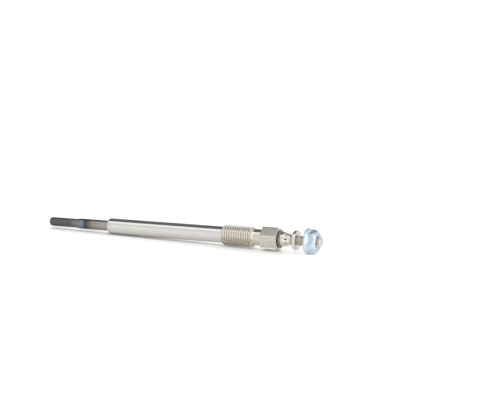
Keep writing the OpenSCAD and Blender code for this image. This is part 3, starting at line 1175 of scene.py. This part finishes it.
class GLOWPLUG_OT_nut(Operator):
    """Flange nut on the stud"""

    bl_idname = "glowplug.nut"
    bl_label = "Terminal nut"

    def execute(self, context):
        size = settings().nut
        terminal = settings().terminal
        tints = settings().colours
        material = plated_finish("blue_zinc", tints.zinc, tints.zinc_lilac, metallic=0.62)
        outlines = [self.outline(size, step) for step in range(STEPS_AROUND)]
        piece = turned_piece("flange_nut", outlines)
        run_tree(
            piece,
            thread_tree(),
            {
                "Start": NUT_X + size.countersink / 2,
                "End": NUT_END_X - size.countersink,
                "Pitch": terminal.stud_pitch,
                "Crest radius": size.bore_radius,
                "Root radius": size.bore_radius + size.thread_depth,
                "Start radius": size.bore_radius,
                "End radius": size.bore_radius,
                "Start lead": terminal.stud_pitch / 2,
                "End lead": terminal.stud_pitch / 2,
                "First angle": size.turn,
                "Inside": True,
                "Material": material,
            },
        )
        finish_piece(piece, material, "terminal_nut", "nut")
        return {"FINISHED"}

    def outline(self, size, step):
        """From the bore's front over flange and hexagon to the bore's rear."""
        angle = size.turn + step * STEP_ANGLE
        hex_angle, hex_radius = hex_step(step, size.flats, size.turn)
        face = size.flats / 2 - size.chamfer_inset
        slope = size.flange_cone / (size.flange_radius - size.cone_radius)
        foot_x = NUT_X + size.flange_rim + (size.flange_radius - hex_radius) * slope
        chamfer_x = NUT_END_X - (hex_radius - face) * math.tan(size.chamfer_angle)
        front_sink = size.countersink / 2
        return rounded(
            [
                (NUT_X + front_sink, size.bore_radius, 0, angle),
                (NUT_X, size.bore_radius + front_sink, size.bore_edge, angle),
                (NUT_X, size.flange_radius, size.rim_front, angle),
                (NUT_X + size.flange_rim, size.flange_radius, size.rim_rear, angle),
                (foot_x, hex_radius, size.foot_round, hex_angle),
                (chamfer_x, hex_radius, size.chamfer_round, hex_angle),
                (NUT_END_X, face, size.face_edge, hex_angle),
                (NUT_END_X, size.bore_radius + size.countersink, size.sink_edge, angle),
                (NUT_END_X - size.countersink, size.bore_radius, 0, angle),
            ]
        )


class GLOWPLUG_OT_inside(Operator):
    """Finishes of the coils, the powder and the seals inside"""

    bl_idname = "glowplug.inside"
    bl_label = "Inner pieces"

    def execute(self, context):
        tints = settings().colours
        finishes = {
            "heating_coil": plated_finish("heating_wire", tints.heating_wire, tints.bronze),
            "regulating_coil": plated_finish(
                "regulating_wire", tints.regulating_wire, tints.bare_tube
            ),
            "magnesia_fill": dull_finish("magnesia", tints.magnesia),
            "sheath_seal": dull_finish("seal_rubber", tints.seal_rubber),
            "o_ring": dull_finish("ring_rubber", tints.ring_rubber),
        }
        for node, material in finishes.items():
            slots = frame["nodes"][node].data.materials
            slots.clear()
            slots.append(material)
        return {"FINISHED"}


class GLOWPLUG_OT_stage(Operator):
    """Pale floor, soft light and the camera"""

    bl_idname = "glowplug.stage"
    bl_label = "Stage"

    def execute(self, context):
        studio = settings().studio
        scene = context.scene
        scene.view_settings.view_transform = "Standard"
        nose_foot = Vector((0.0, 0.0, -settings().housing.shank_radius))
        nut = settings().nut
        nut_foot = Vector((NUT_X + nut.rim_front, 0.0, -nut.flange_radius))
        along = (nut_foot - nose_foot).normalized()
        up = Vector((-along.z, 0.0, along.x))
        self.make_floor(studio, nose_foot - up * FLOOR_GAP, along, up)
        self.make_lamp(studio, up)
        scene.world = self.make_room(studio)
        scene.camera = self.make_camera(studio, up)
        return {"FINISHED"}

    def make_floor(self, studio, foot, along, up):
        """A wide disc that nose and nut flange touch."""
        mesh = bpy.data.meshes.new("floor")
        edit = bmesh.new()
        bmesh.ops.create_circle(edit, cap_ends=True, segments=FLOOR_SIDES, radius=FLOOR_RADIUS)
        edit.to_mesh(mesh)
        edit.free()
        across = up.cross(along)
        tilt = Matrix((along, across, up)).transposed().to_4x4()
        mesh.transform(Matrix.Translation(foot) @ tilt)
        material, tree, shader = new_finish("pale_floor")
        cloud = grain(tree, FLOOR_CLOUDS)
        seen, rays = light_paths(tree)
        spot = part_axes(tree)
        by_nut = product(
            tree,
            fade(tree, spot["X"], (REAR_X, NUT_END_X), 0.0, 1.0),
            fade(tree, spot["Y"], SIDE_GLOW_EDGE, 0.0, 1.0),
        )
        # Painted contact shadow: the floor's glow dims where a piece comes close
        contact = {"Distance": studio.contact}
        near = add(tree, "ShaderNodeAmbientOcclusion", contact, samples=CONTACT_SAMPLES)
        contact_shaded_glow = product(tree, near.outputs["AO"], studio.floor_glow)
        glow = mix(tree, by_nut, contact_shaded_glow, studio.side_glow)
        hex_front = housing_places(settings().housing)[1]
        rise = (hex_front - HEX_GLOW_RISE, hex_front)
        fall = (REAR_X - HEX_GLOW_FALL[0], REAR_X - HEX_GLOW_FALL[1])
        under_hex = product(
            tree,
            window(tree, spot["X"], rise, fall, smooth=True),
            window(tree, spot["Y"], UNDER_HEX_NEAR, UNDER_HEX_FAR, smooth=True),
        )
        direct = calc(tree, "LESS_THAN", rays["Diffuse Depth"], 0.5)
        mirrored = product(tree, under_hex, rays["Is Glossy Ray"], direct)
        glow = mix(tree, mirrored, glow, studio.hex_glow)
        tint = uneven(tree, (*studio.floor_colour, 1.0), cloud, darkest=0.995)
        set_inputs(
            tree,
            shader,
            {
                "Base Color": tint,
                "Roughness": 0.9,
                "Specular IOR Level": 0.0,
                "Emission Color": (1.0, 1.0, 1.0, 1.0),
                "Emission Strength": product(tree, seen, glow),
            },
        )
        mesh.materials.append(material)
        floor = put("floor", mesh)

    def make_lamp(self, studio, up):
        """A soft overhead lamp, hung so that metal shows the room and not the lamp."""
        light = bpy.data.lights.new("overhead", "SUN")
        light.energy = studio.sun
        light.angle = studio.sun_spread
        lamp = put("overhead", light)
        lamp.rotation_mode = "QUATERNION"
        way = up * math.cos(studio.sun_lean) + Vector((0.0, math.sin(studio.sun_lean), 0.0))
        lamp.rotation_quaternion = way.to_track_quat("Z", "Y")
        lamp.visible_glossy = False

    def make_room(self, studio):
        """A white room with a bright roof on the camera's side and a dark card opposite."""
        world = bpy.data.worlds.new("room")
        world.use_nodes = True
        tree = world.node_tree
        way = add(tree, "ShaderNodeTexCoord").outputs["Generated"]
        spot = add(tree, "ShaderNodeSeparateXYZ", {0: way}).outputs
        along, far, height = spot["X"], spot["Y"], spot["Z"]
        wall = fade(tree, height, WALL_FOOT, studio.front_level, studio.wall_level)
        near_side = mix(tree, fade(tree, height, ROOF_FOOT, 0.0, 1.0), wall, studio.roof_level)
        card = fade(tree, along, CARD_LEFT, studio.left_level, studio.dark_level)
        far_side = mix(tree, fade(tree, height, CARD_FOOT, 0.0, 1.0), studio.front_level, card)
        behind = fade(tree, height, BACK_FOOT, studio.front_level, studio.back_level)
        on_near = fade(tree, far, TERMINAL_FAR, 1.0, 0.0)
        terminal_side = mix(tree, on_near, behind, studio.side_level)
        on_card = product(
            tree,
            fade(tree, far, CARD_NEAR, 0.0, 1.0),
            fade(tree, along, CARD_RIGHT, 1.0, 0.0),
        )
        tip_side = mix(tree, on_card, near_side, far_side)
        strength = mix(tree, fade(tree, along, TERMINAL_SIDE, 0.0, 1.0), tip_side, terminal_side)
        strength = mix(tree, light_paths(tree)[0], studio.fill_level, strength)
        background = tree.nodes["Background"]
        background.inputs["Color"].default_value = ROOM_COLOUR
        tree.links.new(strength, background.inputs["Strength"])
        return world

    def make_camera(self, studio, up):
        """The camera, level with the floor."""
        side, rise = studio.azimuth, studio.elevation
        back = Vector(
            (math.sin(side) * math.cos(rise), -math.cos(side) * math.cos(rise), math.sin(rise))
        )
        right = up.cross(back).normalized()
        upright = back.cross(right)
        lens = bpy.data.cameras.new("camera")
        lens.sensor_width = SENSOR_WIDTH
        lens.lens = studio.lens
        lens.clip_start, lens.clip_end = CAMERA_REACH
        camera = put("camera", lens)
        aim = Vector((studio.aim_x, studio.aim_y, studio.aim_z))
        turned = Matrix((right, upright, back)).transposed().to_4x4()
        camera.matrix_world = Matrix.Translation(aim + back * studio.distance) @ turned
        return camera


PIECE_OPERATORS = (
    GLOWPLUG_OT_housing,
    GLOWPLUG_OT_sheath,
    GLOWPLUG_OT_rod,
    GLOWPLUG_OT_bush,
    GLOWPLUG_OT_collar,
    GLOWPLUG_OT_nut,
    GLOWPLUG_OT_inside,
    GLOWPLUG_OT_stage,
)


class GlowPlug(PropertyGroup):
    """Everything that a user may set."""

    housing: PointerProperty(type=HousingSizes, name="Housing", description="Turned housing")
    sheath: PointerProperty(type=SheathSizes, name="Heater tube", description="Closed heater tube")
    terminal: PointerProperty(
        type=TerminalSizes, name="Terminal", description="Rod, bush and collar"
    )
    nut: PointerProperty(type=NutSizes, name="Nut", description="Flange nut")
    colours: PointerProperty(type=Colours, name="Colours", description="Colours of the finishes")
    studio: PointerProperty(type=Studio, name="Studio", description="Camera, floor and light")


class GLOWPLUG_PT_panel(Panel):
    """Lists the operators that make the plug"""

    bl_idname = "GLOWPLUG_PT_panel"
    bl_label = "Glow plug"
    bl_space_type = "VIEW_3D"
    bl_region_type = "UI"
    bl_category = "Glow plug"

    def draw(self, context):
        for operator in PIECE_OPERATORS:
            self.layout.operator(operator.bl_idname)


CLASSES = (
    HousingSizes,
    SheathSizes,
    TerminalSizes,
    NutSizes,
    Colours,
    Studio,
    GlowPlug,
    *PIECE_OPERATORS,
    GLOWPLUG_PT_panel,
)


def register():
    """Registers the classes and the scene's settings."""
    for item in CLASSES:
        bpy.utils.register_class(item)
    bpy.types.Scene.glow_plug = PointerProperty(
        type=GlowPlug, name="Glow plug", description="Sizes and colours of the glow plug"
    )


def unregister():
    """Removes the settings and the classes."""
    del bpy.types.Scene.glow_plug
    for item in reversed(CLASSES):
        bpy.utils.unregister_class(item)


def main():
    """Makes every piece and the stage."""
    register()
    bpy.ops.glowplug.housing()
    bpy.ops.glowplug.sheath()
    bpy.ops.glowplug.rod()
    bpy.ops.glowplug.bush()
    bpy.ops.glowplug.collar()
    bpy.ops.glowplug.nut()
    bpy.ops.glowplug.inside()
    bpy.ops.glowplug.stage()


if __name__ == "__main__":
    main()
